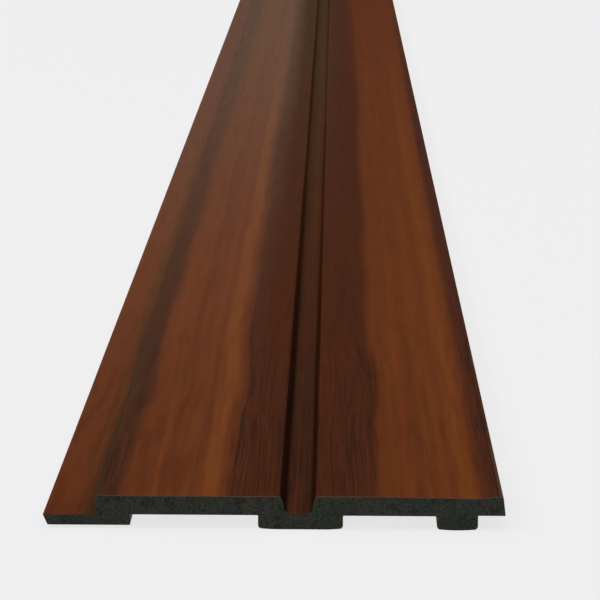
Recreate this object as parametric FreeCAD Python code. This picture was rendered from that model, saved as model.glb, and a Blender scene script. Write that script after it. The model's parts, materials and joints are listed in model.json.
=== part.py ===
"""Shiplap wall panel: a foamed plastic profile with a woodgrain film on its face, 2.9 m long.

The section is one constant extrusion. Seen from the near end, with the face up, it has from left to right:
a lip that slides under the next panel, a step up to the first slat, a round-bottomed groove that looks like
the joint between two panels, the second slat, and an overhang that covers the next panel's lip. Behind the
face are a shoulder, a boss that carries the groove, and a foot. The boss and the foot stand on the wall.
Sizes are in millimetres. X runs across the panel, Y along it, and Z from the wall to the face.
"""
import FreeCAD, Part
import math
import os

Vector = FreeCAD.Vector

# Stock
panel_length = 2900.0
panel_width = 160.0  # from the lip's tip to the lower edge of the overhang
panel_thickness = 12.0  # from the wall to the first slat
film_thickness = 0.3

# Lip and step, on the left
lip_reach = 18.5  # how far the lip stands out from the step
lip_thickness = 3.7
lip_rise = 1.2  # gap behind the lip and the shoulder, where a fixing clip goes
lip_tip_bevel = 1.55
lip_tip_round = 0.4
step_lean = 0.3
step_foot_round = 0.8
step_rim_round = 0.9
step_rim_rise = 0.45  # the wrapped corner stands a little above the slat
step_rim_width = 4.0
shoulder_width = 11.7

# Slats
web_thickness = 6.9
rim_blend = 4.0
second_slat_rise = 0.12  # the second slat stands a little prouder than the first
sink_depth = 0.45  # the face shrinks inwards over the thick foot
sink_from_edge = 9.5
sink_run = 32.0
sink_start_round = 900.0
sink_bottom_round = 45.0

# Groove between the slats, and the boss behind it
groove_offset = -0.4  # its middle is a little left of the face's middle
groove_width = 10.3  # between the walls, under the rims
groove_depth = 6.6  # below the first slat
groove_floor_bow = 1.1  # how far the floor rises from its middle to the walls
groove_floor_dip = 0.37  # the floor's tangents meet this far below it, before rounding
groove_floor_offset = 1.4  # the floor's lowest line is this far right of the groove's middle
groove_wall_draft = 0.25
groove_flare = 1.1  # how far each rim stands back from its wall
groove_flare_depth = 2.6
groove_flare_round = 3.0
groove_rim_round = 0.5
groove_foot_round = 1.4
groove_floor_round = 9.0
boss_width = 29.4
boss_offset = 0.8  # the boss sits a little right of the groove

# Overhang and foot, on the right
overhang_reach = 9.5
overhang_clearance = 0.5  # above the next panel's lip
edge_undercut = 0.9
edge_rise = 0.55
edge_round = 0.9
foot_width = 14.15

# Backs of the boss and the foot, which bulge as the foam cools
sole_relief = 0.35
sole_relief_run = 5.0
sole_round = 1.3
sole_blend = 20.0
back_corner_round = 0.3

# Levels and stations that follow from the sizes above
lip_top = lip_rise + lip_thickness
overhang_back = lip_top + overhang_clearance
web_back = panel_thickness - web_thickness
step_x = lip_reach
face_edge_x = panel_width - edge_undercut
groove_x = (step_x + face_edge_x) / 2 + groove_offset
second_slat_face = panel_thickness + second_slat_rise
foot_right_x = panel_width - overhang_reach
foot_left_x = foot_right_x - foot_width
shoulder_right_x = step_x + shoulder_width
end_margin = 1.0  # how far the film's strip runs past the section before it is trimmed
most_of_a_side = 0.48  # the largest share of a straight side that one rounding takes


def rounded_edges(corners, closed=False):
    """Straight edges through the corners (x, z, radius), each joined to the next by a tangent arc."""
    count = len(corners)
    points = [Vector(x, 0, z) for x, z, radius in corners]
    starts, ends, arcs = [], [], []
    for i, (x, z, radius) in enumerate(corners):
        here = points[i]
        if not closed and i in (0, count - 1) or radius <= 0:
            starts.append(here)
            ends.append(here)
            arcs.append(None)
            continue
        back = points[i - 1] - here
        ahead = points[(i + 1) % count] - here
        half_turn = (math.pi - back.getAngle(ahead)) / 2
        shorter = min(back.Length, ahead.Length)
        setback = min(radius * math.tan(half_turn), most_of_a_side * shorter)
        radius = setback / math.tan(half_turn)
        arc_start = here + back.normalize() * setback
        arc_end = here + ahead.normalize() * setback
        to_centre = (arc_start + arc_end) / 2 - here
        centre = here + to_centre.normalize() * (radius / math.cos(half_turn))
        arc_middle = centre + (here - centre).normalize() * radius
        starts.append(arc_start)
        ends.append(arc_end)
        arcs.append(Part.Arc(arc_start, arc_middle, arc_end).toShape())
    edges = []
    for i in range(count):
        if arcs[i]:
            edges.append(arcs[i])
        if i < count - 1 or closed:
            edges.append(Part.makeLine(ends[i], starts[(i + 1) % count]))
    return edges


def lip_and_step():
    """The face side of the lip, the step wall and the rim at the first slat's corner."""
    return [
        (0, lip_top, 0),
        (step_x - step_lean, lip_top, step_foot_round),
        (step_x, panel_thickness + step_rim_rise, step_rim_round),
        (step_x + step_rim_width, panel_thickness, rim_blend),
    ]


def groove():
    """The groove's flared rims, walls and bowed floor, from left to right."""
    wall = groove_width / 2
    rim = wall + groove_flare
    foot = wall - groove_wall_draft
    floor = panel_thickness - groove_depth
    wall_foot = floor + groove_floor_bow
    flare_foot = panel_thickness - groove_flare_depth
    return [
        (groove_x - rim, panel_thickness, groove_rim_round),
        (groove_x - wall, flare_foot, groove_flare_round),
        (groove_x - foot, wall_foot, groove_foot_round),
        (groove_x + groove_floor_offset, floor - groove_floor_dip, groove_floor_round),
        (groove_x + foot, wall_foot, groove_foot_round),
        (groove_x + wall, flare_foot, groove_flare_round),
        (groove_x + rim, second_slat_face, groove_rim_round),
    ]


def sunk_slat_and_edge():
    """The second slat, with its shallow sink over the foot, and the overhang's rounded, undercut edge."""
    sink_x = panel_width - sink_from_edge
    return [
        (sink_x - sink_run, second_slat_face, sink_start_round),
        (sink_x, second_slat_face - sink_depth, sink_bottom_round),
        (face_edge_x, panel_thickness + edge_rise, edge_round),
        (panel_width, overhang_back, 0),
    ]


def sole(left_x, right_x, right_top, left_top):
    """A boss or foot seen from the right: down its right side, along its bulging sole, up its left side."""
    return [
        (right_x, right_top, back_corner_round),
        (right_x, sole_relief, sole_round),
        (right_x - sole_relief_run, 0, sole_blend),
        (left_x + sole_relief_run, 0, sole_blend),
        (left_x, sole_relief, sole_round),
        (left_x, left_top, back_corner_round),
    ]


def back_of_panel():
    """The side towards the wall, from the overhang on the right to the lip's tip on the left."""
    boss_x = groove_x + boss_offset
    boss_left_x = boss_x - boss_width / 2
    boss_right_x = boss_x + boss_width / 2
    return [
        *sole(foot_left_x, foot_right_x, overhang_back, web_back),
        *sole(boss_left_x, boss_right_x, web_back, web_back),
        (shoulder_right_x, web_back, back_corner_round),
        (shoulder_right_x, lip_rise, back_corner_round),
        (lip_tip_bevel, lip_rise, lip_tip_round),
    ]


def whole_section():
    """The face of the whole section, foam and film together."""
    face_side = [*lip_and_step(), *groove(), *sunk_slat_and_edge()]
    edges = rounded_edges([*face_side, *back_of_panel()], closed=True)
    return Part.Face(Part.Wire(edges))


def film_strip():
    """A band of the film's thickness under the face side, longer than the section at both ends."""
    face_side = [*lip_and_step(), *groove(), *sunk_slat_and_edge()]
    edge_slope = edge_undercut / (panel_thickness + edge_rise - overhang_back)
    face_side[0] = (-end_margin, lip_top, 0)
    face_side[-1] = (panel_width + edge_slope * end_margin, overhang_back - end_margin, 0)
    outer = Part.Wire(rounded_edges(face_side))
    inner = offset_into_foam(face_side)
    start_cap = Part.makeLine(inner.OrderedVertexes[0].Point, outer.OrderedVertexes[0].Point)
    end_cap = Part.makeLine(outer.OrderedVertexes[-1].Point, inner.OrderedVertexes[-1].Point)
    return Part.Face(Part.Wire([*outer.Edges, end_cap, *reversed(inner.Edges), start_cap]))


def offset_into_foam(path):
    """The path's rounded wire moved sideways by the film's thickness, towards the foam."""
    wire = Part.Wire(rounded_edges(path))
    both_sides = [wire.makeOffset2D(shift, join=0, fill=False, openResult=True)
                  for shift in (film_thickness, -film_thickness)]
    return min(both_sides, key=lambda moved: moved.BoundBox.ZMax)


def extruded(section):
    """The section drawn out to the panel's length, centred across and along."""
    section.translate(Vector(-panel_width / 2, -panel_length / 2, 0))
    return section.extrude(Vector(0, panel_length, 0))


def largest_face(shape):
    """The one face that a cut or common leaves, without slivers."""
    return max(shape.Faces, key=lambda face: face.Area)


def main():
    section = whole_section()
    strip = film_strip()
    pieces = {
        "foam_core": largest_face(section.cut(strip)),
        "woodgrain_film": largest_face(section.common(strip)),
    }
    os.makedirs("parts", exist_ok=True)
    for name, face in pieces.items():
        solid = extruded(face)
        print(name, "valid:", solid.isValid(), "cubic mm:", round(solid.Volume), solid.BoundBox)
        solid.exportStep(f"parts/{name}.step")


main()
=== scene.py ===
"""Shiplap wall panel: looks, stage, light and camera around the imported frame.

Both pieces are drawn again, finely, from the sections that the frame holds: the foamed core, and the
woodgrain film that is wrapped over its face side. X runs across the panel, Y along it and Z out of the
face, in metres. The near end is at -Y. Places across the panel are given from the lip's tip, as a maker
would measure them.
"""
import json
import math
import random

import bmesh
import bpy
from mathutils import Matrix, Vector, geometry, kdtree

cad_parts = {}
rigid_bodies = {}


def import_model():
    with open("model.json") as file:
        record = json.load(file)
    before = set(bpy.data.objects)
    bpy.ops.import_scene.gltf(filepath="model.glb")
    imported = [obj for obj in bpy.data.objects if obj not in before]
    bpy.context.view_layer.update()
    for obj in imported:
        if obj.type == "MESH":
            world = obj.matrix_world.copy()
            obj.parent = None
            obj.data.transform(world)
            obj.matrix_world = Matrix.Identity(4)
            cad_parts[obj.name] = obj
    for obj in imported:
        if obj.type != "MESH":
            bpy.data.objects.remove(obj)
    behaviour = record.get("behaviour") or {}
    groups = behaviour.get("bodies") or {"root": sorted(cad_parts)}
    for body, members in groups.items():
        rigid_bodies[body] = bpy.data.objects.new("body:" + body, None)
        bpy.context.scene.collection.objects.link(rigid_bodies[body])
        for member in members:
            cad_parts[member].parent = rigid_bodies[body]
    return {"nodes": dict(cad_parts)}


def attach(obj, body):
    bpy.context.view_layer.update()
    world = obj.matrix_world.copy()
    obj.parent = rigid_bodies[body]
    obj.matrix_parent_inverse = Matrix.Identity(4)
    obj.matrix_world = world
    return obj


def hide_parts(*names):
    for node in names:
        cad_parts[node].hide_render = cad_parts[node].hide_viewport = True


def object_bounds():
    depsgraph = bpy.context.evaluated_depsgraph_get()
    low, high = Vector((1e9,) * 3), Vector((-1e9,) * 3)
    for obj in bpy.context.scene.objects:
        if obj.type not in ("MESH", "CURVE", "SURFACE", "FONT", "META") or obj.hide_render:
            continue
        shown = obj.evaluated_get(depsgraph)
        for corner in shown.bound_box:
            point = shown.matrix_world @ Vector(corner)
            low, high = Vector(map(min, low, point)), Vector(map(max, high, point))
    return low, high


mm = 0.001

# Fineness of the redrawn pieces
outline_step = 1.0 * mm
arc_step = math.radians(5)
sharpest_arc_turn = math.radians(24)  # from one chord to the next: anything sharper is a corner
straight_turn = math.radians(0.4)  # anything flatter is a straight side
ring_spacing = 50 * mm
weld_distance = 0.01 * mm
sharp_edge = math.radians(35)

# Unevenness left by the extruder, and the torn cells of a sawn end
unevenness = 0.12 * mm
wave_length = 160 * mm
wave_detail = 1.0
cell_spacing = 0.75 * mm
cell_clearance = 0.5 * mm
cell_jitter = 0.3 * mm
cell_seed = 11
pit_depth = 0.16 * mm
pit_size = 1.3 * mm
burr_height = 0.12 * mm
burr_size = 1.6 * mm
tear_detail = 2.0

# Camera: the photograph's viewpoint, on a 600 by 600 frame
photo_width_px = 600
focal_length_px = 2200
sensor_width = 36.0
camera_place = Vector((20.3 * mm, -2168.2 * mm, 261.9 * mm))
camera_pitch = math.radians(14.08)
camera_yaw = math.radians(0.925)
camera_roll = math.radians(-0.07)
nearest_seen = 10 * mm

# Stage and light
floor_reach = 40.0
floor_glow_share = 0.88  # the rest of the floor takes light and shadow
horizon_strength = 0.02
overhead_strength = 1.7
overhead_edge = 0.45
overhead_full = 0.85
mirrored_share = 0.03  # of the pale surroundings, in what the panel reflects
key_place = (-2.4, -1.8, 2.6)
key_target = (0.0, -0.9, 0.0)
key_size = 1.2
key_power = 45


def paint(red, green, blue):
    """A colour given as 0 to 255 screen values, in the linear light that shaders use."""
    def linear(value):
        share = value / 255
        return share / 12.92 if share <= 0.04045 else ((share + 0.055) / 1.055) ** 2.4
    return (linear(red), linear(green), linear(blue), 1.0)


floor_colour = paint(220, 220, 220)
background_colour = paint(239, 239, 239)

# Colours of the print, with the painted shade, highlight and sheen that are laid over it
ground_dark = paint(87, 41, 13)
ground_light = paint(103, 50, 16)
russet = paint(97, 40, 18)
olive_brown = paint(80, 44, 12)
amber = paint(107, 56, 16)
umber = paint(64, 28, 8)
red_umber = paint(72, 27, 13)
green_umber = paint(55, 33, 10)
groove_brown = paint(64, 32, 14)
deep_umber = paint(40, 18, 6)
dull_umber = paint(60, 31, 12)
grey_umber = paint(61, 42, 24)
plum_umber = paint(62, 30, 17)
# Painted shade: the dark of the groove's walls, and of the turn onto the overhang's rounded edge
painted_shade_black = paint(24, 7, 0)
# Painted highlight on the overhang's rounded edge
painted_edge_highlight = paint(92, 74, 62)
# Painted sheen: the pale and greenish-grey haze of glancing reflection, stronger towards the far end
painted_pale_sheen = paint(190, 190, 185)
painted_green_sheen = paint(70, 120, 95)
painted_olive_sheen = paint(70, 122, 80)
thread_colour = paint(200, 192, 186)
cloud_colour = paint(218, 212, 206)
line_colour = paint(36, 14, 6)
between_colour = paint(92, 46, 18)

# Strength of the print's fine marks, from 0 to 1
thread_strength = 0.14
cloud_strength = 0.6
line_strength = 0.48
between_strength = 0.16
pore_strength = 0.68
stain_strength = 0.46
band_stain_strength = 0.46
plain_figure = 0.12  # share of the lines and pores that shows outside the figured streaks

# The figure is fainter along the middle of the panel, in metres from the near end
faint_middle = 1.25
faint_reach = 0.95
faint_fade = 0.25
faint_figure = 0.2
lasting_share = 0.3  # of the threads, clouds and tones, which stays where the figure is faintest

# How far the whole print wanders to the right: metres from the near end, and mm
wander = (
    (0.0, 0.3), (0.05, 0.4), (0.09, 0.4), (0.13, 2.1), (0.15, 1.8), (0.19, 0.3), (0.245, -0.6),
    (0.325, 0.2), (0.375, -0.6), (0.475, 0.5), (0.65, -0.7), (0.75, -0.3), (0.875, 1.1), (1.025, 0.7),
    (1.3, 0.4), (1.7, -0.8), (2.1, 0.9), (2.5, -0.9), (2.75, 0.8), (2.9, 0.2),
)
wander_range = 10.0  # mm, from one side to the other
steady_from = 122 * mm
steady_at = 142 * mm
steady_share = 0.2  # of the wander, from there to the overhang's edge
line_wander_share = 0.55  # of the wander, for the fine marks
figure_sway = 10 * mm

# Surface of the film's face, which is rubbed matt along the step's rim
roughness_low = 0.36
roughness_high = 0.48
roughness_levels = (0.3, 0.7)
rim_place = 18.6 * mm
rim_core = 0.5 * mm
rim_reach = 1.6 * mm
rim_roughness = 0.85
face_specular = 0.04
emboss_depth = 0.04 * mm
emboss_strength = 0.6
thread_relief = 0.3  # how high a thread stands, against the depth of a pore


class Marks:
    """One kind of long, thin mark: its size in mm, its seed and how finely it breaks up."""

    def __init__(self, width, length, seed, detail=1.0):
        self.width = width
        self.length = length
        self.seed = seed
        self.detail = detail


# Marks of the print, and the levels between which each kind comes in
figure_waves = Marks(25, 190, 3.0)
tones = Marks(6, 900, 7.0)
russet_stains = Marks(6, 240, 9.0, 3.0)
olive_stains = Marks(7, 280, 17.0, 3.0)
warm_stains = Marks(1.6, 80, 23.0)
cool_stains = Marks(1.9, 95, 31.0)
threads = Marks(0.9, 220, 13.0, 2.0)
clouds = Marks(3.2, 48, 27.0, 3.0)
lines = Marks(0.8, 110, 21.0)
pores = Marks(0.5, 34, 34.0)
tone_levels = (0.3, 0.7)
stain_levels = (0.5, 0.68)
thread_levels = (0.35, 0.7)
cloud_levels = (0.42, 0.66)
line_levels = (0.52, 0.64)
between_levels = (0.36, 0.46)
pore_levels = (0.56, 0.68)

# Slow sideways sway of a streak
sway_width = 30 * mm
sway_length = 400 * mm
sway_detail = 2.0


class Streak:
    """One streak along the panel, of print or of painted shade, highlight or sheen. A figured one shows
    the fine dark lines of the grain.

    Its place is in mm from the lip's tip, and its width, softness and sway are in mm. Drift is in mm to
    the right for each metre along. Its start and end are in metres from the near end, and the fade at each
    is in metres. A streak without sway lies on a wall or an edge of the section, so it doesn't wander with
    the print either.
    """

    def __init__(self, colour, place, width, softness, strength, drift=0.0, sway=2.0,
                 start=-9.0, end=9.0, fade=0.4, figured=0.0):
        self.colour = colour
        self.place = place
        self.width = width
        self.softness = softness
        self.strength = strength
        self.drift = drift
        self.sway = sway
        self.start = start
        self.end = end
        self.fade = fade
        self.figured = figured


streaks = (
    Streak(ground_dark, 6, 15, 5, 0.8, end=0.5, fade=0.45),
    # Painted sheen: greenish haze over the lip, growing towards the far end
    Streak(painted_green_sheen, 6, 30, 12, 0.11, start=0.1, end=3.2, fade=1.3),
    Streak(ground_dark, 80, 140, 10, 0.4, end=0.16, fade=0.15),
    Streak(ground_dark, 80, 160, 10, 0.28, start=0.2, fade=0.5),
    Streak(ground_dark, 31, 7, 5, 0.5, end=0.3, fade=0.25),
    Streak(amber, 35, 5, 5, 0.3, start=0.1, end=0.7),
    Streak(ground_dark, 41, 3.4, 2.4, 0.9, end=1.0, fade=0.8),
    Streak(ground_dark, 7, 13, 6, 0.75, start=0.5, end=2.2, fade=0.8),
    Streak(ground_dark, 51, 4, 4, 0.5, end=0.3, fade=0.25),
    Streak(ground_dark, 61, 5, 4, 0.8, end=1.6, fade=1.0),
    Streak(amber, 56.8, 5.8, 2.6, 0.72, sway=1.0, end=1.4, fade=0.9),
    Streak(umber, 77.6, 13, 6, 0.95, sway=1.5, figured=1.0),
    Streak(umber, 68.8, 10.5, 5.4, 0.93, drift=-1.6, sway=1.5, end=3.2, fade=3.0, figured=1.0),
    Streak(umber, 103.4, 24.2, 6, 0.95, drift=1.5, sway=1.5, figured=0.8),
    Streak(groove_brown, 88.5, 9, 1.5, 0.9, sway=0.0, figured=0.8),
    Streak(deep_umber, 89.9, 3.4, 1.4, 0.5, sway=0.0, end=0.55, fade=0.5),
    Streak(ground_dark, 133, 40, 20, 0.8, start=0.6, fade=0.9),
    Streak(amber, 146.5, 5, 6, 0.6, drift=-1.5, sway=1.5, end=1.4, fade=0.8),
    Streak(olive_brown, 12.0, 5, 4, 0.45, drift=1.0, end=1.2, fade=1.0),
    Streak(dull_umber, 20.4, 10.6, 4.5, 0.88, drift=2.5, sway=4.0, end=1.0, fade=1.0, figured=0.65),
    Streak(dull_umber, 20, 10, 6, 0.18, drift=2.0, sway=4.0, start=0.4, fade=0.5),
    Streak(dull_umber, 20.5, 14, 10, 0.36, drift=0.5, figured=0.3),
    Streak(grey_umber, 17.4, 5.2, 3, 0.6, end=0.9, fade=0.8),
    Streak(plum_umber, 22.3, 4.5, 3, 0.6, drift=1.5, end=1.0, fade=0.8),
    # Painted shade along the step's rim, which darkens the rim's highlight
    Streak(deep_umber, 18.4, 1.2, 0.8, 0.4, sway=0.0, end=0.9, fade=0.8),
    Streak(plum_umber, 157.4, 10.4, 4.0, 0.92, drift=2.0, sway=1.5, end=2.0, fade=1.3, figured=0.9),
    # The next two streaks are painted shade in the groove's corners, along its left and right walls,
    # fading along the panel
    Streak(painted_shade_black, 83.15, 3.1, 1.6, 0.85, sway=0.0, end=0.9, fade=0.9),
    Streak(painted_shade_black, 93.3, 2.0, 1.2, 0.78, sway=0.0, end=0.85, fade=0.8),
    # Painted shade where the face turns onto the overhang's rounded edge, beside the painted highlight
    Streak(painted_shade_black, 157.4, 0.9, 0.8, 0.4, sway=0.0, end=0.5, fade=0.45),
    # Painted highlight along the overhang's rounded edge, only close to the near end
    Streak(painted_edge_highlight, 158.5, 1.1, 0.7, 0.4, sway=0.0, end=0.1, fade=0.09),
    Streak(umber, 113.2, 6, 4, 0.85, sway=1.0, start=0.02, end=0.22, fade=0.09, figured=0.8),
    Streak(deep_umber, 65.0, 0.9, 0.8, 0.5, sway=1.5, end=0.5, fade=0.35),
    Streak(deep_umber, 119.6, 1.3, 1.0, 0.36, drift=-48, start=0.08, end=0.27, fade=0.05),
    Streak(deep_umber, 104.0, 5, 5, 0.3, sway=4.0, start=0.2, end=0.38, fade=0.08),
    Streak(umber, 69, 9.5, 6, 0.9, start=1.6, fade=0.8, figured=1.0),
    Streak(amber, 56, 6, 4, 0.7, start=1.9, fade=0.6),
    Streak(dull_umber, 23, 11, 7, 0.85, start=1.8, fade=0.7, figured=0.6),
    Streak(amber, 140, 6, 6, 0.6, start=1.6, fade=0.7),
    # Painted sheen: pale haze over the left half, then greenish haze across the middle, growing towards
    # the far end
    Streak(painted_pale_sheen, 22, 92, 16, 0.06, start=-0.2, end=3.3, fade=1.6),
    Streak(painted_olive_sheen, 60, 80, 30, 0.055, start=0.2, end=3.0, fade=1.1),
    Streak(deep_umber, 8, 18, 4, 0.22, end=0.03, fade=0.029),
)

# Foamed plastic
foam_grey = paint(51, 52, 45)
foam_green = paint(39, 48, 38)
foam_brown = paint(59, 48, 38)
foam_pit = paint(18, 19, 15)
foam_speck = paint(64, 66, 56)
foam_clump = paint(26, 27, 22)
broad_patch = 7 * mm
close_patch = 3 * mm
patch_detail = 2.0
grey_levels = (0.35, 0.65)
brown_levels = (0.5, 0.7)
clump_levels = (0.54, 0.68)
patch_strength = 0.7
pore_detail = 3.0
pore_sharpness = 0.65
pit_levels = (0.36, 0.52)
pit_strength = 0.8
speck_levels = (0.56, 0.7)
speck_strength = 0.75

# Sawn ends of the foam
sawn_pore_size = 0.9 * mm
sawn_relief = 0.25 * mm
sawn_relief_strength = 0.8
sawn_roughness = 0.85
sawn_specular = 0.25

# Closed skin of the foam
skin_pore_size = 2.5 * mm
skin_pore_share = 0.35
skin_lines = Marks(0.8, 900, 5.0, 3.0)
skin_line_levels = (0.3, 0.7)
skin_line_strength = 0.5
skin_pore_relief = 0.5  # against the height of a line
skin_relief = 0.08 * mm
skin_relief_strength = 0.5
skin_roughness_low = 0.5
skin_roughness_high = 0.65
skin_specular = 0.35

# Sawn edge of the film
cut_film_light = paint(98, 80, 64)
cut_film_dark = paint(62, 50, 40)
cut_film_stretched = paint(46, 38, 30)
stretched_below = 10.8 * mm
stretched_over = 11.4 * mm
cut_film_spots = 900.0  # in a metre
cut_film_spot_detail = 2.0
cut_film_roughness = 0.6
cut_film_specular = 0.3


def add(tree, kind, inputs=None, **settings):
    """Places a node, applies its settings, and links or sets the inputs given by name or number."""
    made = tree.nodes.new(kind)
    for key, value in settings.items():
        setattr(made, key, value)
    for key, value in (inputs or {}).items():
        socket = made.inputs[key]
        if isinstance(value, bpy.types.NodeSocket):
            tree.links.new(value, socket)
        else:
            socket.default_value = value
    return made


def calc(tree, operation, first, second=0.0, third=0.0):
    """The result of one math node."""
    return add(tree, "ShaderNodeMath", {0: first, 1: second, 2: third}, operation=operation).outputs[0]


def sockets(tree, inputs, outputs):
    """Gives a node group its named inputs, as (name, type, default), and outputs, as (name, type)."""
    for name, kind, default in inputs:
        made = tree.interface.new_socket(name, in_out="INPUT", socket_type="NodeSocket" + kind)
        if default is not None:
            made.default_value = default
    for name, kind in outputs:
        tree.interface.new_socket(name, in_out="OUTPUT", socket_type="NodeSocket" + kind)
    return tree.nodes.new("NodeGroupInput").outputs


# Sections, read from the frame's own solids


def end_outline(node):
    """The closed outline of a solid's near end, as points (x, z), anticlockwise seen from there."""
    solid = bmesh.new()
    solid.from_mesh(node.data)
    bmesh.ops.remove_doubles(solid, verts=solid.verts, dist=weld_distance)
    near_y = min(vert.co.y for vert in solid.verts)
    end_faces = {face for face in solid.faces
                 if all(vert.co.y < near_y + weld_distance for vert in face.verts)}
    following = {}
    for face in end_faces:
        for loop in face.loops:
            if not end_faces.issuperset(loop.edge.link_faces):
                following[loop.vert] = loop.link_loop_next.vert
    first = min(following, key=lambda vert: vert.co.x)
    outline = [first]
    while following[outline[-1]] is not first:
        outline.append(following[outline[-1]])
    points = [Vector((vert.co.x, vert.co.z)) for vert in outline]
    solid.free()
    return points


def finer(outline):
    """The outline with its arcs, which the frame gives as short chords, rounded out by more points."""
    count = len(outline)
    sides = [outline[(i + 1) % count] - outline[i] for i in range(count)]
    tangents = []
    for i in range(count):
        if abs(sides[i - 1].angle_signed(sides[i])) < sharpest_arc_turn:
            tangents.append((sides[i - 1] + sides[i]).normalized())
        else:
            tangents.append(None)
    points = []
    for i, side in enumerate(sides):
        start = outline[i]
        end = outline[(i + 1) % count]
        leaving = tangents[i] or side.normalized()
        arriving = tangents[(i + 1) % count] or side.normalized()
        turn = leaving.angle(side) + side.angle(arriving)
        curved = turn > straight_turn
        pieces = max(1, math.ceil(side.length / outline_step))
        if curved:
            pieces = max(pieces, math.ceil(turn / arc_step))
        for piece in range(pieces):
            share = piece / pieces
            if curved:
                points.append(along_arc(start, end, leaving * side.length, arriving * side.length, share))
            else:
                points.append(start.lerp(end, share))
    return points


def along_arc(start, end, leaving, arriving, share):
    """A point on the cubic that leaves the start and arrives at the end in the given directions."""
    rest = 1 - share
    return (start * (1 + 2 * share) * rest * rest + leaving * share * rest * rest
            + end * share * share * (3 - 2 * share) - arriving * share * share * rest)


def cells_inside(outline):
    """Points for the torn cells of a sawn end, on an uneven grid that keeps clear of the outline."""
    rng = random.Random(cell_seed)
    edge = kdtree.KDTree(len(outline))
    for i, point in enumerate(outline):
        edge.insert(point.to_3d(), i)
    edge.balance()
    low_x = min(point.x for point in outline)
    low_z = min(point.y for point in outline)
    columns = math.ceil((max(point.x for point in outline) - low_x) / cell_spacing)
    rows = math.ceil((max(point.y for point in outline) - low_z) / cell_spacing)
    cells = []
    for column in range(columns):
        for row in range(rows):
            x = low_x + (column + 0.5) * cell_spacing + rng.uniform(-cell_jitter, cell_jitter)
            z = low_z + (row + 0.5) * cell_spacing + rng.uniform(-cell_jitter, cell_jitter)
            if edge.find((x, z, 0))[2] > cell_clearance:
                cells.append(Vector((x, z)))
    return cells


def section_mesh(name, outline, cells=(), across=None):
    """The flat section as a mesh in the plane Y = 0, with the point values that the drawing tree uses."""
    count = len(outline)
    order = list(range(count))
    flat, _, faces, origins, _, _ = geometry.delaunay_2d_cdt(
        [*outline, *cells], [], [order], 1, weld_distance / 10)
    mesh = bpy.data.meshes.new(name)
    mesh.from_pydata([(point.x, 0, point.y) for point in flat], [], faces)
    torn = mesh.attributes.new("torn", "FLOAT", "POINT")
    print_place = mesh.attributes.new("across", "FLOAT", "POINT")
    for i, sources in enumerate(origins):
        source = sources[0] if sources else count
        torn.data[i].value = float(source >= count)
        print_place.data[i].value = across[source] if across and source < count else 0.0
    return mesh


def print_places(outline):
    """How far across the flat film each point of the wrapped film's outline lay, from the lip's tip."""
    start = min(range(len(outline)), key=lambda i: outline[i].x)
    end = max(range(len(outline)), key=lambda i: outline[i].x)
    count = len(outline)
    one_way = [(start + i) % count for i in range((end - start) % count + 1)]
    other_way = [(start - i) % count for i in range((start - end) % count + 1)]
    face_side = max(one_way, other_way, key=lambda way: sum(outline[i].y for i in way) / len(way))
    places = [0.0] * count
    travelled = kdtree.KDTree(len(face_side))
    distance = 0.0
    previous = outline[face_side[0]]
    for i in face_side:
        distance += (outline[i] - previous).length
        previous = outline[i]
        places[i] = distance
        travelled.insert(outline[i].to_3d(), i)
    travelled.balance()
    for i in set(range(count)) - set(face_side):
        places[i] = places[travelled.find(outline[i].to_3d())[1]]
    return places


# Drawing a section out to the panel


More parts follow.
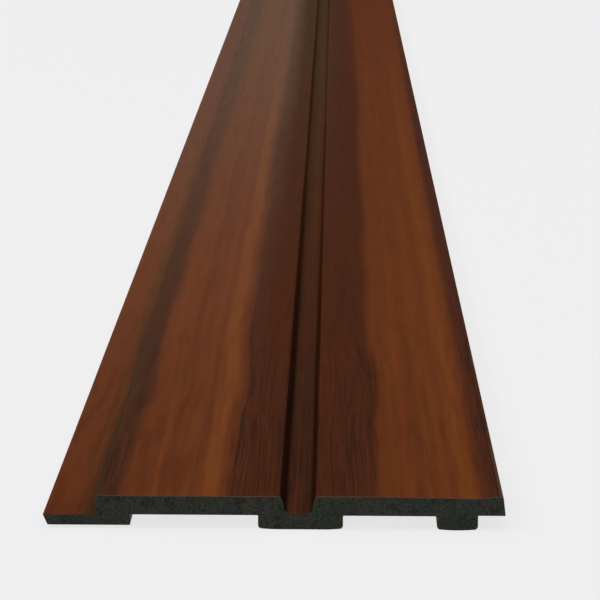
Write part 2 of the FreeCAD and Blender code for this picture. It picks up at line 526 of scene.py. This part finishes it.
def drawing_tree():
    """A node tree that draws a flat section out along Y, with sawn ends, and makes it a little uneven."""
    tree = bpy.data.node_groups.new("drawn_from_section", "GeometryNodeTree")
    given = sockets(tree, [
        ("Section", "Geometry", None),
        ("Length", "Float", 1.0),
        ("Ring Spacing", "Float", 0.05),
        ("Width", "Float", 0.1),
        ("Thickness", "Float", 0.01),
        ("Unevenness", "Float", 0.0),
        ("Wave Length", "Float", 0.2),
        ("Tear Depth", "Float", 0.0),
        ("Tear Size", "Float", 0.001),
        ("Burr Height", "Float", 0.0),
        ("Skin", "Material", None),
        ("Sawn End", "Material", None),
    ], [("Panel", "Geometry")])
    half = calc(tree, "MULTIPLY", given["Length"], 0.5)
    near = add(tree, "ShaderNodeCombineXYZ", {"Y": calc(tree, "MULTIPLY", half, -1.0)}).outputs[0]
    far = add(tree, "ShaderNodeCombineXYZ", {"Y": half}).outputs[0]

    rail = add(tree, "GeometryNodeCurvePrimitiveLine", {"Start": near, "End": far})
    rings = add(tree, "GeometryNodeResampleCurve",
                {"Curve": rail.outputs[0], "Length": given["Ring Spacing"]}, mode="LENGTH")
    level_rings = add(tree, "GeometryNodeSetCurveNormal", {"Curve": rings.outputs[0]}, mode="Z_UP")
    laid_flat = add(tree, "GeometryNodeTransform",
                    {"Geometry": given["Section"], "Rotation": (math.radians(90), 0, 0)})
    neighbours = add(tree, "GeometryNodeInputMeshEdgeNeighbors")
    on_rim = add(tree, "FunctionNodeCompare", {2: neighbours.outputs[0], 3: 1},
                 data_type="INT", operation="EQUAL")
    rim = add(tree, "GeometryNodeMeshToCurve",
              {"Mesh": laid_flat.outputs[0], "Selection": on_rim.outputs[0]})
    skin = add(tree, "GeometryNodeCurveToMesh",
               {"Curve": level_rings.outputs[0], "Profile Curve": rim.outputs[0]})

    end_mark = add(tree, "GeometryNodeStoreNamedAttribute",
                   {"Geometry": given["Section"], "Name": "sawn_end", "Value": True},
                   data_type="BOOLEAN", domain="FACE")
    near_end = add(tree, "GeometryNodeTransform", {"Geometry": end_mark.outputs[0], "Translation": near})
    far_end = add(tree, "GeometryNodeTransform", {"Geometry": end_mark.outputs[0], "Translation": far})
    joined = add(tree, "GeometryNodeJoinGeometry")
    for part in (skin, near_end, far_end):
        tree.links.new(part.outputs[0], joined.inputs[0])
    welded = add(tree, "GeometryNodeMergeByDistance",
                 {"Geometry": joined.outputs[0], "Distance": weld_distance})

    position = add(tree, "GeometryNodeInputPosition").outputs[0]
    place = add(tree, "ShaderNodeSeparateXYZ", {0: position}).outputs
    waves = add(tree, "ShaderNodeTexNoise", {
        "Vector": position, "Detail": wave_detail,
        "Scale": calc(tree, "DIVIDE", 1.0, given["Wave Length"])})
    sway = add(tree, "ShaderNodeSeparateXYZ", {0: waves.outputs["Color"]}).outputs
    cells = add(tree, "ShaderNodeTexNoise", {
        "Vector": position, "Detail": tear_detail,
        "Scale": calc(tree, "DIVIDE", 1.0, given["Tear Size"])})

    # Every shift is inwards or down, so that the piece stays inside the frame's box
    width_share = calc(tree, "ADD", calc(tree, "DIVIDE", place["X"], given["Width"]), 0.5)
    height_share = calc(tree, "DIVIDE", place["Z"], given["Thickness"])
    swell = calc(tree, "MULTIPLY", calc(tree, "SUBTRACT", sway["X"], width_share), given["Unevenness"])
    settling = calc(tree, "MULTIPLY", calc(tree, "SUBTRACT", sway["Z"], 1.0), given["Unevenness"])
    torn = add(tree, "GeometryNodeInputNamedAttribute", {"Name": "torn"}, data_type="FLOAT").outputs[0]
    tear = calc(tree, "MULTIPLY", calc(tree, "MULTIPLY", torn, given["Tear Depth"]), cells.outputs[0])
    at_end = calc(tree, "GREATER_THAN", calc(tree, "ABSOLUTE", place["Y"]),
                  calc(tree, "SUBTRACT", half, weld_distance))
    burr = calc(tree, "MULTIPLY", calc(tree, "MULTIPLY", at_end, given["Burr Height"]),
                calc(tree, "SUBTRACT", cells.outputs[0], 1.0))
    shift = add(tree, "ShaderNodeCombineXYZ", {
        "X": swell,
        "Y": calc(tree, "MULTIPLY", calc(tree, "SIGN", place["Y"]), calc(tree, "SUBTRACT", burr, tear)),
        "Z": calc(tree, "MULTIPLY", settling, height_share)})
    uneven = add(tree, "GeometryNodeSetPosition",
                 {"Geometry": welded.outputs[0], "Offset": shift.outputs[0]})

    sawn = add(tree, "GeometryNodeInputNamedAttribute", {"Name": "sawn_end"}, data_type="BOOLEAN")
    real = add(tree, "GeometryNodeRealizeInstances", {0: uneven.outputs[0]})
    skinned = add(tree, "GeometryNodeSetMaterial",
                  {"Geometry": real.outputs[0], "Material": given["Skin"]})
    finished = add(tree, "GeometryNodeSetMaterial", {
        "Geometry": skinned.outputs[0], "Selection": sawn.outputs[0], "Material": given["Sawn End"]})
    add(tree, "NodeGroupOutput", {0: finished.outputs[0]})
    return tree


def drawn_piece(name, tree, section, sizes):
    """A plain mesh object: the section drawn out by the tree, with outward faces and smooth arcs."""
    source = bpy.data.objects.new(name + "_source", section)
    bpy.context.scene.collection.objects.link(source)
    modifier = source.modifiers.new("drawn", "NODES")
    modifier.node_group = tree
    for item in tree.interface.items_tree:
        if item.in_out == "INPUT" and item.name in sizes:
            modifier[item.identifier] = sizes[item.name]
    drawn = source.evaluated_get(bpy.context.evaluated_depsgraph_get())
    mesh = bpy.data.meshes.new_from_object(drawn)
    bpy.data.objects.remove(source)
    mesh.name = name
    solid = bmesh.new()
    solid.from_mesh(mesh)
    unused = [vert for vert in solid.verts if not vert.link_faces]
    bmesh.ops.delete(solid, geom=unused, context="VERTS")
    bmesh.ops.recalc_face_normals(solid, faces=solid.faces)
    for face in solid.faces:
        face.smooth = True
    solid.to_mesh(mesh)
    solid.free()
    mesh.set_sharp_from_angle(angle=sharp_edge)
    piece = bpy.data.objects.new(name, mesh)
    bpy.context.scene.collection.objects.link(piece)
    return piece


# Materials


def material(name):
    """A new node material with its tree emptied, and the tree."""
    made = bpy.data.materials.new(name)
    made.use_nodes = True
    made.node_tree.nodes.clear()
    return made, made.node_tree


def group(name, inputs, outputs):
    """A new shader group with its named sockets, and the group's inputs."""
    tree = bpy.data.node_groups.new(name, "ShaderNodeTree")
    return tree, sockets(tree, inputs, outputs)


def placed(tree, shared, inputs):
    """The outputs of a shared group, placed in a material with that material's own values."""
    return add(tree, "ShaderNodeGroup", inputs, node_tree=shared).outputs


def object_place(tree):
    """The shaded point's place on the panel, as X, Y and Z outputs."""
    point = add(tree, "ShaderNodeTexCoord").outputs["Object"]
    return add(tree, "ShaderNodeSeparateXYZ", {0: point}).outputs


def step(tree, value, low, high, at_low=0.0, at_high=1.0):
    """A soft step: at_low where the value is under low, at_high where it is over high."""
    return add(tree, "ShaderNodeMapRange", {"Value": value, "From Min": low, "From Max": high,
                                            "To Min": at_low, "To Max": at_high},
               interpolation_type="SMOOTHSTEP").outputs[0]


def blend(tree, share, first, second, way="MIX"):
    """The first colour with that share of the second laid over it."""
    mixed = add(tree, "ShaderNodeMix", {0: share, 6: first, 7: second}, data_type="RGBA", blend_type=way)
    return mixed.outputs[2]


def fibre_group():
    """Long, thin marks of a given width and length, as a value around a half."""
    tree, given = group("fibres", [
        ("Across", "Float", 0.0), ("Along", "Float", 0.0), ("Width", "Float", 0.001),
        ("Length", "Float", 0.1), ("Seed", "Float", 0.0), ("Detail", "Float", 1.0),
    ], [("Value", "Float")])
    place = add(tree, "ShaderNodeCombineXYZ", {"X": calc(tree, "DIVIDE", given["Across"], given["Width"]),
                                               "Y": calc(tree, "DIVIDE", given["Along"], given["Length"]),
                                               "Z": given["Seed"]})
    marks = add(tree, "ShaderNodeTexNoise",
                {"Vector": place.outputs[0], "Scale": 1.0, "Detail": given["Detail"]})
    add(tree, "NodeGroupOutput", {0: marks.outputs[0]})
    return tree


def streak_group(fibres):
    """A streak along the panel, of print or of painted shade, highlight or sheen, which drifts and sways,
    and may start and end on the way.
    """
    tree, given = group("streak", [
        ("Across", "Float", 0.0), ("Along", "Float", 0.0), ("Place", "Float", 0.0),
        ("Width", "Float", 0.01), ("Softness", "Float", 0.005), ("Drift", "Float", 0.0),
        ("Sway", "Float", 0.0), ("Start", "Float", -1.0), ("End", "Float", 10.0), ("Fade", "Float", 0.3),
    ], [("Mask", "Float")])
    sway = placed(tree, fibres, {"Across": given["Across"], "Along": given["Along"], "Width": sway_width,
                                 "Length": sway_length, "Seed": given["Place"],
                                 "Detail": sway_detail})["Value"]
    drifted = calc(tree, "MULTIPLY_ADD", given["Along"], given["Drift"], given["Place"])
    middle = calc(tree, "MULTIPLY_ADD", calc(tree, "SUBTRACT", sway, 0.5), given["Sway"], drifted)
    away = calc(tree, "ABSOLUTE", calc(tree, "SUBTRACT", given["Across"], middle))
    half_width = calc(tree, "MULTIPLY", given["Width"], 0.5)
    half_soft = calc(tree, "MULTIPLY", given["Softness"], 0.5)
    inside = step(tree, away, calc(tree, "SUBTRACT", half_width, half_soft),
                  calc(tree, "ADD", half_width, half_soft), 1.0, 0.0)
    begun = step(tree, given["Along"], given["Start"], calc(tree, "ADD", given["Start"], given["Fade"]))
    ended = step(tree, given["Along"], calc(tree, "SUBTRACT", given["End"], given["Fade"]), given["End"],
                 1.0, 0.0)
    shown = calc(tree, "MULTIPLY", inside, calc(tree, "MULTIPLY", begun, ended))
    add(tree, "NodeGroupOutput", {0: shown})
    return tree


def wandering(tree, along, panel_length):
    """How far the whole print has wandered to the right at a place along the panel."""
    course = add(tree, "ShaderNodeFloatCurve", {"Value": calc(tree, "DIVIDE", along, panel_length)})
    curve = course.mapping.curves[0]
    curve.points[0].location = (0, 0.5 + wander[0][1] / wander_range)
    curve.points[1].location = (1, 0.5 + wander[-1][1] / wander_range)
    for place, shift in wander[1:-1]:
        curve.points.new(place / panel_length, 0.5 + shift / wander_range)
    course.mapping.update()
    return calc(tree, "MULTIPLY", calc(tree, "SUBTRACT", course.outputs[0], 0.5), wander_range * mm)


def film_face(fibres, streak, panel_width, panel_length):
    """The printed, embossed face of the film: streaks along the panel, some of them painted shade,
    highlight and sheen, then fibres, lines and pores.
    """
    made, tree = material("film_face")
    place = object_place(tree)
    along = calc(tree, "ADD", place["Y"], panel_length / 2)
    from_tip = calc(tree, "ADD", place["X"], panel_width / 2)
    across = add(tree, "ShaderNodeAttribute", attribute_name="across").outputs["Fac"]

    def marks(kind, over):
        return placed(tree, fibres, {
            "Across": over, "Along": along, "Width": kind.width * mm, "Length": kind.length * mm,
            "Seed": kind.seed, "Detail": kind.detail})["Value"]

    shift = calc(tree, "MULTIPLY", wandering(tree, along, panel_length),
                 step(tree, from_tip, steady_from, steady_at, 1.0, steady_share))
    print_across = calc(tree, "SUBTRACT", from_tip, shift)
    line_across = calc(tree, "SUBTRACT", across, calc(tree, "MULTIPLY", shift, line_wander_share))
    figure = calc(tree, "MULTIPLY_ADD", calc(tree, "SUBTRACT", marks(figure_waves, across), 0.5),
                  figure_sway, line_across)
    from_faint = calc(tree, "ABSOLUTE", calc(tree, "SUBTRACT", along, faint_middle))
    clearness = step(tree, from_faint, faint_reach, faint_reach + faint_fade, faint_figure, 1.0)
    calm = calc(tree, "MULTIPLY_ADD", clearness, 1 - lasting_share, lasting_share)

    def stain(kind, strength):
        stained = step(tree, marks(kind, figure), *stain_levels, 0.0, strength)
        return calc(tree, "MULTIPLY", stained, clearness)

    tone = calc(tree, "SUBTRACT", step(tree, marks(tones, across), *tone_levels), 0.5)
    colour = blend(tree, calc(tree, "MULTIPLY_ADD", tone, calm, 0.5), ground_dark, ground_light)
    colour = blend(tree, stain(russet_stains, stain_strength), colour, russet)
    colour = blend(tree, stain(olive_stains, stain_strength), colour, olive_brown)
    warm = stain(warm_stains, band_stain_strength)
    cool = stain(cool_stains, band_stain_strength)
    figured = plain_figure
    for mark in streaks:
        mask = placed(tree, streak, {
            "Across": print_across if mark.sway else from_tip, "Along": along,
            "Place": mark.place * mm, "Width": mark.width * mm, "Softness": mark.softness * mm,
            "Drift": mark.drift * mm, "Sway": mark.sway * mm,
            "Start": mark.start, "End": mark.end, "Fade": mark.fade})["Mask"]
        colour = blend(tree, calc(tree, "MULTIPLY", mask, mark.strength), colour, mark.colour)
        if mark.figured:
            figured = calc(tree, "MAXIMUM", figured, calc(tree, "MULTIPLY", mask, mark.figured))
            colour = blend(tree, calc(tree, "MULTIPLY", warm, mask), colour, red_umber)
            colour = blend(tree, calc(tree, "MULTIPLY", cool, mask), colour, green_umber)

    threaded = marks(threads, figure)
    clouded = marks(clouds, figure)
    for share, shade in (
            (step(tree, threaded, *thread_levels, 0.0, thread_strength), thread_colour),
            (step(tree, clouded, *cloud_levels, 0.0, cloud_strength), cloud_colour)):
        colour = blend(tree, calc(tree, "MULTIPLY", share, calm), colour, shade, "MULTIPLY")
    figured = calc(tree, "MULTIPLY", figured, clearness)
    lined = marks(lines, figure)
    pored = step(tree, marks(pores, figure), *pore_levels)
    for share, strength, shade in (
            (step(tree, lined, *line_levels), line_strength, line_colour),
            (step(tree, lined, *between_levels, 1.0, 0.0), between_strength, between_colour),
            (pored, pore_strength, line_colour)):
        shown = calc(tree, "MULTIPLY", calc(tree, "MULTIPLY", share, figured), strength)
        colour = blend(tree, shown, colour, shade)

    from_rim = calc(tree, "ABSOLUTE", calc(tree, "SUBTRACT", from_tip, rim_place))
    rough = calc(tree, "MAXIMUM", step(tree, threaded, *roughness_levels, roughness_low, roughness_high),
                 step(tree, from_rim, rim_core, rim_reach, rim_roughness, 0.0))
    height = calc(tree, "SUBTRACT", calc(tree, "MULTIPLY", threaded, thread_relief), pored)
    emboss = add(tree, "ShaderNodeBump", {"Strength": emboss_strength, "Distance": emboss_depth,
                                          "Height": height})
    surface = add(tree, "ShaderNodeBsdfPrincipled", {
        "Base Color": colour, "Roughness": rough, "Specular IOR Level": face_specular,
        "Normal": emboss.outputs[0]})
    add(tree, "ShaderNodeOutputMaterial", {"Surface": surface.outputs[0]})
    return made


def film_cut_edge():
    """The film's sawn edge: a pale line on the slats, and darker where the film is stretched."""
    made, tree = material("film_cut_edge")
    place = add(tree, "ShaderNodeTexCoord").outputs["Object"]
    spots = add(tree, "ShaderNodeTexNoise", {"Vector": place, "Scale": cut_film_spots,
                                             "Detail": cut_film_spot_detail}).outputs[0]
    level = add(tree, "ShaderNodeSeparateXYZ", {0: place}).outputs["Z"]
    colour = blend(tree, spots, cut_film_dark, cut_film_light)
    stretched = step(tree, level, stretched_below, stretched_over, 1.0, 0.0)
    colour = blend(tree, stretched, colour, cut_film_stretched)
    surface = add(tree, "ShaderNodeBsdfPrincipled", {
        "Base Color": colour, "Roughness": cut_film_roughness, "Specular IOR Level": cut_film_specular})
    add(tree, "ShaderNodeOutputMaterial", {"Surface": surface.outputs[0]})
    return made


def foam_group():
    """The foamed plastic's own colour and cells, for its sawn ends and its skin alike."""
    tree, given = group("foamed_plastic", [("Cell Size", "Float", 0.001), ("Cells", "Float", 1.0)],
                        [("Color", "Color"), ("Height", "Float")])
    place = add(tree, "ShaderNodeTexCoord").outputs["Object"]
    fine = add(tree, "ShaderNodeTexNoise", {
        "Vector": place, "Scale": calc(tree, "DIVIDE", 1.0, given["Cell Size"]),
        "Detail": pore_detail, "Roughness": pore_sharpness}).outputs[0]

    def patches(size):
        return add(tree, "ShaderNodeTexNoise",
                   {"Vector": place, "Scale": 1 / size, "Detail": patch_detail}).outputs

    tint = add(tree, "ShaderNodeSeparateXYZ", {0: patches(close_patch)["Color"]}).outputs
    colour = blend(tree, step(tree, patches(broad_patch)["Fac"], *grey_levels), foam_green, foam_grey)
    for value, levels, shade in (
            (tint["X"], brown_levels, foam_brown), (tint["Y"], clump_levels, foam_clump)):
        colour = blend(tree, step(tree, value, *levels, 0.0, patch_strength), colour, shade)
    pits = calc(tree, "MULTIPLY", step(tree, fine, *pit_levels, 1.0, 0.0), given["Cells"])
    specks = calc(tree, "MULTIPLY", step(tree, fine, *speck_levels), given["Cells"])
    colour = blend(tree, calc(tree, "MULTIPLY", pits, pit_strength), colour, foam_pit)
    colour = blend(tree, calc(tree, "MULTIPLY", specks, speck_strength), colour, foam_speck)
    add(tree, "NodeGroupOutput", {0: colour, 1: calc(tree, "MULTIPLY", fine, given["Cells"])})
    return tree


def foam_sawn(foam):
    """The sawn ends of the foamed core: torn cells, quite matt."""
    made, tree = material("foam_sawn")
    body = placed(tree, foam, {"Cell Size": sawn_pore_size, "Cells": 1.0})
    torn = add(tree, "ShaderNodeBump", {"Strength": sawn_relief_strength, "Distance": sawn_relief,
                                        "Height": body["Height"]})
    surface = add(tree, "ShaderNodeBsdfPrincipled", {
        "Base Color": body["Color"], "Roughness": sawn_roughness, "Specular IOR Level": sawn_specular,
        "Normal": torn.outputs[0]})
    add(tree, "ShaderNodeOutputMaterial", {"Surface": surface.outputs[0]})
    return made


def foam_skin(foam, fibres):
    """The closed skin that the die leaves on the back and the sides, with faint lines along the panel."""
    made, tree = material("foam_skin")
    body = placed(tree, foam, {"Cell Size": skin_pore_size, "Cells": skin_pore_share})
    place = object_place(tree)
    around = calc(tree, "ADD", place["X"], place["Z"])
    lined = placed(tree, fibres, {
        "Across": around, "Along": place["Y"], "Width": skin_lines.width * mm,
        "Length": skin_lines.length * mm, "Seed": skin_lines.seed, "Detail": skin_lines.detail})["Value"]
    colour = blend(tree, step(tree, lined, *skin_line_levels, 0.0, skin_line_strength),
                   body["Color"], foam_speck)
    relief = calc(tree, "ADD", lined, calc(tree, "MULTIPLY", body["Height"], skin_pore_relief))
    ridges = add(tree, "ShaderNodeBump", {"Strength": skin_relief_strength, "Distance": skin_relief,
                                          "Height": relief})
    surface = add(tree, "ShaderNodeBsdfPrincipled", {
        "Base Color": colour, "Specular IOR Level": skin_specular, "Normal": ridges.outputs[0],
        "Roughness": step(tree, lined, *skin_line_levels, skin_roughness_low, skin_roughness_high)})
    add(tree, "ShaderNodeOutputMaterial", {"Surface": surface.outputs[0]})
    return made


# Stage, light and camera


def stage():
    """A wide pale floor that shows the background grey and still takes the panel's soft shadow."""
    mesh = bpy.data.meshes.new("floor")
    corners = [(x * floor_reach, y * floor_reach, 0) for x, y in ((-1, -1), (1, -1), (1, 1), (-1, 1))]
    mesh.from_pydata(corners, [], [range(len(corners))])
    floor = bpy.data.objects.new("floor", mesh)
    bpy.context.scene.collection.objects.link(floor)
    made, tree = material("floor_paint")
    rays = add(tree, "ShaderNodeLightPath").outputs
    seen = calc(tree, "MAXIMUM", calc(tree, "MAXIMUM", rays["Is Camera Ray"], rays["Is Glossy Ray"]),
                rays["Is Transmission Ray"])
    lit = add(tree, "ShaderNodeBsdfDiffuse", {"Color": floor_colour})
    glow = add(tree, "ShaderNodeEmission", {"Color": background_colour, "Strength": 1.0})
    mixed = add(tree, "ShaderNodeMixShader", {0: calc(tree, "MULTIPLY", seen, floor_glow_share),
                                              1: lit.outputs[0], 2: glow.outputs[0]})
    add(tree, "ShaderNodeOutputMaterial", {"Surface": mixed.outputs[0]})
    mesh.materials.append(made)


def surroundings():
    """An even pale studio: the background grey where it is seen, and plain soft light elsewhere."""
    world = bpy.data.worlds.new("studio")
    world.use_nodes = True
    tree = world.node_tree
    tree.nodes.clear()
    rays = add(tree, "ShaderNodeLightPath").outputs
    mirrored = calc(tree, "MULTIPLY", rays["Is Glossy Ray"], mirrored_share)
    seen = calc(tree, "MAXIMUM", calc(tree, "MAXIMUM", rays["Is Camera Ray"], mirrored),
                rays["Is Transmission Ray"])
    direction = add(tree, "ShaderNodeTexCoord").outputs["Generated"]
    height = add(tree, "ShaderNodeSeparateXYZ", {0: direction}).outputs["Z"]
    strength = step(tree, height, overhead_edge, overhead_full, horizon_strength, overhead_strength)
    fill = add(tree, "ShaderNodeBackground", {"Color": (1, 1, 1, 1), "Strength": strength})
    shown = add(tree, "ShaderNodeBackground", {"Color": background_colour, "Strength": 1.0})
    mixed = add(tree, "ShaderNodeMixShader", {0: seen, 1: fill.outputs[0], 2: shown.outputs[0]})
    add(tree, "ShaderNodeOutputWorld", {"Surface": mixed.outputs[0]})
    bpy.context.scene.world = world


def softbox(name, place, target, size, power):
    """A square soft lamp that faces its target."""
    data = bpy.data.lights.new(name, "AREA")
    data.shape = "SQUARE"
    data.size = size
    data.energy = power
    made = bpy.data.objects.new(name, data)
    made.location = place
    made.rotation_euler = (Vector(target) - Vector(place)).to_track_quat("-Z", "Y").to_euler()
    bpy.context.scene.collection.objects.link(made)


def camera():
    """The camera at the photograph's viewpoint."""
    data = bpy.data.cameras.new("camera")
    data.sensor_width = sensor_width
    data.lens = focal_length_px / photo_width_px * sensor_width
    data.clip_start = nearest_seen
    made = bpy.data.objects.new("camera", data)
    made.location = camera_place
    made.rotation_euler = (math.radians(90) - camera_pitch, camera_roll, camera_yaw)
    bpy.context.scene.collection.objects.link(made)
    bpy.context.scene.camera = made


def main():
    for leftover in list(bpy.data.objects):
        bpy.data.objects.remove(leftover)
    bpy.context.scene.view_settings.view_transform = "Standard"
    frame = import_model()
    cad_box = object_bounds()
    low, high = cad_box
    nodes = frame["nodes"]
    foam_outline = finer(end_outline(nodes["foam_core"]))
    film_outline = finer(end_outline(nodes["woodgrain_film"]))
    foam_section = section_mesh("foam_section", foam_outline, cells_inside(foam_outline))
    film_section = section_mesh("film_section", film_outline, across=print_places(film_outline))
    tree = drawing_tree()
    fibres = fibre_group()
    foam_body = foam_group()
    shared_sizes = {
        "Length": high.y - low.y, "Width": high.x - low.x, "Thickness": high.z,
        "Ring Spacing": ring_spacing, "Unevenness": unevenness, "Wave Length": wave_length,
    }
    foam = drawn_piece("foam_core_drawn", tree, foam_section, {
        **shared_sizes, "Tear Depth": pit_depth, "Tear Size": pit_size,
        "Skin": foam_skin(foam_body, fibres), "Sawn End": foam_sawn(foam_body),
    })
    film = drawn_piece("woodgrain_film_drawn", tree, film_section, {
        **shared_sizes, "Tear Size": burr_size, "Burr Height": burr_height,
        "Skin": film_face(fibres, streak_group(fibres), high.x - low.x, high.y - low.y),
        "Sawn End": film_cut_edge(),
    })
    for piece, node in ((foam, "foam_core"), (film, "woodgrain_film")):
        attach(piece, "root")
        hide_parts(node)
        print(node, len(piece.data.vertices), len(piece.data.polygons))
    stage()
    surroundings()
    softbox("key", key_place, key_target, key_size, key_power)
    camera()


main()
